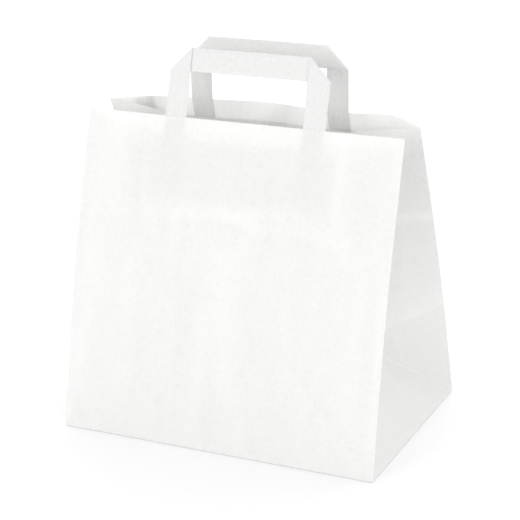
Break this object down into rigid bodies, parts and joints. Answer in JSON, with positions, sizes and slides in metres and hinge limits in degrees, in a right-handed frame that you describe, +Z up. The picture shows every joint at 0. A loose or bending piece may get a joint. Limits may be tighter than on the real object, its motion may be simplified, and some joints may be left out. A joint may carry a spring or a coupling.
{
  "type": "paper carrier bag",
  "caption": "Plain white block-bottom paper carrier bag standing open, with pushed-in side gussets, a pinked mouth and flat folded-tape handles.",
  "frame": {"origin": "centre of the base on the surface the bag stands on", "axes": "+Z up, +X to the right across the panels, -Y towards the front panel"},
  "size_m": [0.2606, 0.1704, 0.2941],
  "materials": {
    "bag_paper": "matt machine-finished white kraft paper",
    "tape_paper": "matt white kraft paper folded into a flat tape",
    "patch_paper": "matt white kraft paper patch"
  },
  "bodies": {
    "root": {"bag_body": "bag_paper", "front_handle": "tape_paper", "rear_handle": "tape_paper", "front_handle_patch": "patch_paper", "rear_handle_patch": "patch_paper"}
  },
  "joints": []
}
